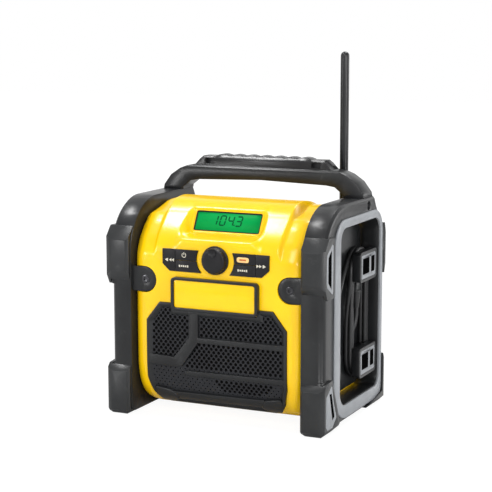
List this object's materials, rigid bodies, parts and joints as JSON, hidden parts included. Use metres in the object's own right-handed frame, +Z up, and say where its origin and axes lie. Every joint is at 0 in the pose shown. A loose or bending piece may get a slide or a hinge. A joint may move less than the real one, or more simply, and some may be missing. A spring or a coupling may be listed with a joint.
{
  "type": "jobsite radio",
  "caption": "Portable radio in a rubber-bumpered roll-cage frame with carry handle, folding antenna, cord wrap, battery bay and side storage door.",
  "frame": {"origin": "on the ground under the middle of the footprint", "axes": "+X to the right as the front is seen, -Y towards the front, +Z up"},
  "size_m": [0.267, 0.19, 0.4095],
  "materials": {
    "yellow_plastic": "satin moulded plastic",
    "black_plastic": "fine textured plastic",
    "orange_plastic": "satin plastic",
    "black_rubber": "soft matt rubber",
    "grey_plastic": "satin painted plastic",
    "clear_window": "clear window over a green display",
    "steel": "plated steel",
    "brass_metal": "plain brass",
    "circuit_board": "green lacquered board",
    "paper_cone": "black paper cone"
  },
  "bodies": {
    "cabinet": {"antenna_base": "black_plastic", "antenna_pin": "steel", "aux_jack": "black_plastic", "badge_frame": "black_plastic", "badge_plate": "yellow_plastic", "battery_dock": "black_plastic", "battery_terminals": "brass_metal", "bumper_inlays": "grey_plastic", "case_screws": "steel", "cleat_caps": "grey_plastic", "control_board": "circuit_board", "cord_strain_relief": "black_rubber", "cord_wrap_plate": "black_plastic", "frame_screws": "steel", "front_case": "yellow_plastic", "front_lower_left_bumper": "black_rubber", "front_lower_right_bumper": "black_rubber", "front_upper_left_bumper": "black_rubber", "front_upper_right_bumper": "black_rubber", "handle_bar": "black_plastic", "handle_grip": "black_rubber", "handle_screws": "steel", "key_mat": "black_rubber", "lcd_module": "steel", "lcd_window": "clear_window", "left_frame_inlay": "grey_plastic", "left_side_frame": "black_plastic", "left_speaker_cone": "paper_cone", "left_speaker_driver": "steel", "lower_cleat": "black_plastic", "main_board": "circuit_board", "mains_plug": "black_rubber", "plug_blades": "brass_metal", "power_cord_lead": "black_rubber", "power_cord_tail": "black_rubber", "power_cord_winding": "black_rubber", "rear_case": "yellow_plastic", "rear_lower_left_bumper": "black_rubber", "rear_lower_right_bumper": "black_rubber", "rear_upper_left_bumper": "black_rubber", "rear_upper_right_bumper": "black_rubber", "right_frame_inlay": "grey_plastic", "right_side_frame": "black_plastic", "right_speaker_cone": "paper_cone", "right_speaker_driver": "steel", "rotary_encoder": "black_plastic", "speaker_grille": "black_plastic", "storage_box": "black_plastic", "transformer": "steel", "upper_cleat": "black_plastic"},
    "seek_back_button": {"seek_back_key": "black_plastic"},
    "power_button": {"power_key": "black_plastic"},
    "mode_button": {"mode_key": "black_plastic"},
    "band_button": {"band_key": "orange_plastic"},
    "preset_button": {"preset_key": "black_plastic"},
    "seek_forward_button": {"seek_forward_key": "black_plastic"},
    "knob": {"tuning_knob": "black_plastic", "encoder_shaft": "steel"},
    "antenna": {"antenna_whip": "black_rubber"},
    "door": {"storage_door": "black_plastic"}
  },
  "joints": [
    {"name": "seek_back_press", "type": "slide", "parent": "cabinet", "child": "seek_back_button", "axis": [0, 1, 0], "range_m": [0, 0.0012], "stiffness_N_per_m": 500},
    {"name": "power_press", "type": "slide", "parent": "cabinet", "child": "power_button", "axis": [0, 1, 0], "range_m": [0, 0.0012], "stiffness_N_per_m": 500},
    {"name": "mode_press", "type": "slide", "parent": "cabinet", "child": "mode_button", "axis": [0, 1, 0], "range_m": [0, 0.0012], "stiffness_N_per_m": 500},
    {"name": "band_press", "type": "slide", "parent": "cabinet", "child": "band_button", "axis": [0, 1, 0], "range_m": [0, 0.0012], "stiffness_N_per_m": 500},
    {"name": "preset_press", "type": "slide", "parent": "cabinet", "child": "preset_button", "axis": [0, 1, 0], "range_m": [0, 0.0012], "stiffness_N_per_m": 500},
    {"name": "seek_forward_press", "type": "slide", "parent": "cabinet", "child": "seek_forward_button", "axis": [0, 1, 0], "range_m": [0, 0.0012], "stiffness_N_per_m": 500},
    {"name": "knob_turn", "type": "hinge", "parent": "cabinet", "child": "knob", "pos_m": [0, -0.0884, 0.1843], "axis": [0, 1, 0], "continuous": true},
    {"name": "antenna_fold", "type": "hinge", "parent": "cabinet", "child": "antenna", "pos_m": [0.087, 0.078, 0.233], "axis": [0, -1, 0], "range_deg": [0, 90]},
    {"name": "door_open", "type": "hinge", "parent": "cabinet", "child": "door", "pos_m": [-0.108, 0.006, 0.036], "axis": [0, -1, 0], "range_deg": [0, 95]}
  ]
}
